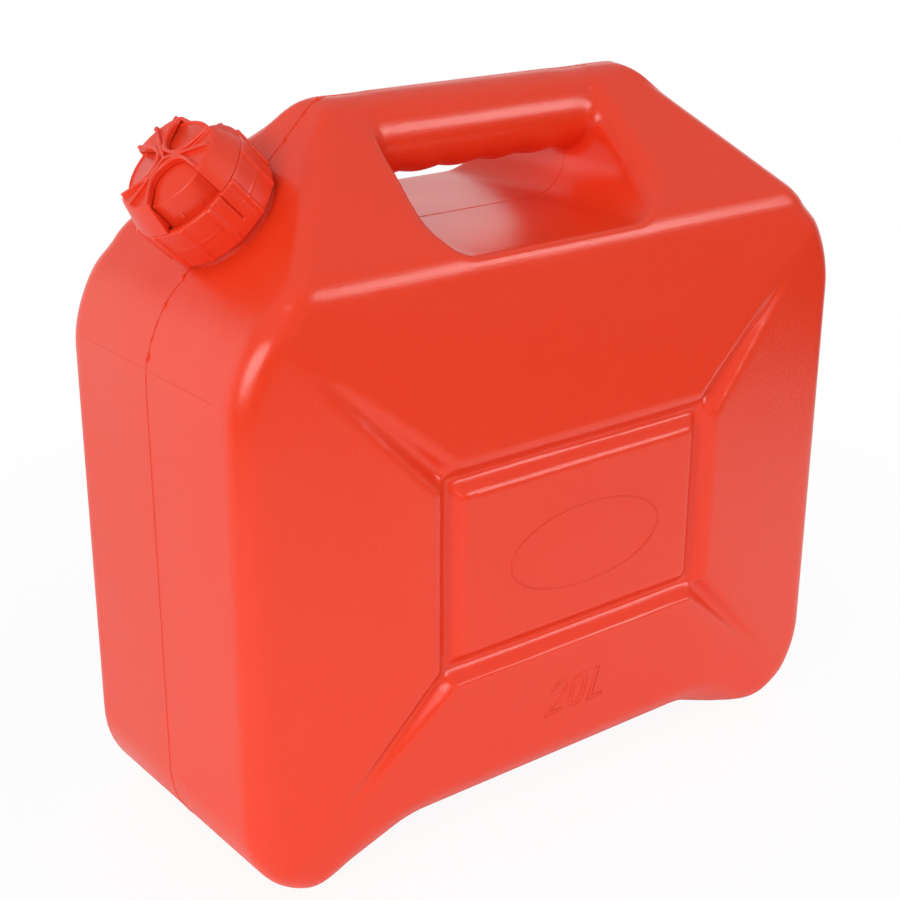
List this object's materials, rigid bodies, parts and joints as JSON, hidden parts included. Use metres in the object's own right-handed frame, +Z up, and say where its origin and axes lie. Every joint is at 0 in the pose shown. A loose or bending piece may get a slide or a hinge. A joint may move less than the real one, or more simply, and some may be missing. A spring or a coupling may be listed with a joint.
{
  "type": "plastic jerrycan",
  "caption": "Upright hollow plastic fuel can with a round grip bar, a grooved panel on both faces and a slanted neck closed by a screw collar and three-lobed cap.",
  "frame": {"origin": "ground level under the middle of the can, closure included", "axes": "+X along the length, away from the neck; -Y towards the viewer of the picture; +Z up"},
  "size_m": [0.3992, 0.1888, 0.3856],
  "materials": {
    "tank_hdpe": "satin",
    "closure_hdpe": "satin",
    "seal_rubber": "matte"
  },
  "bodies": {
    "tank": {"tank": "tank_hdpe"},
    "seal": {"seal_washer": "seal_rubber"},
    "cap": {"inner_cap": "closure_hdpe"},
    "closure": {"screw_collar": "closure_hdpe", "grip": "closure_hdpe"}
  },
  "joints": [
    {"name": "thread_travel", "type": "slide", "parent": "tank", "child": "seal", "axis": [-0.7071, 0, 0.7071], "range_m": [0, 0.009]},
    {"name": "lift_off", "type": "slide", "parent": "seal", "child": "cap", "axis": [-0.7071, 0, 0.7071], "range_m": [0, 0.045]},
    {"name": "closure_turn", "type": "hinge", "parent": "cap", "child": "closure", "pos_m": [-0.16222, 0, 0.34834], "axis": [-0.7071, 0, 0.7071], "range_deg": [0, 540]}
  ],
  "couplings": [
    {"joint": "thread_travel", "follows": "closure_turn", "m_per_rad": 0.00095493}
  ]
}
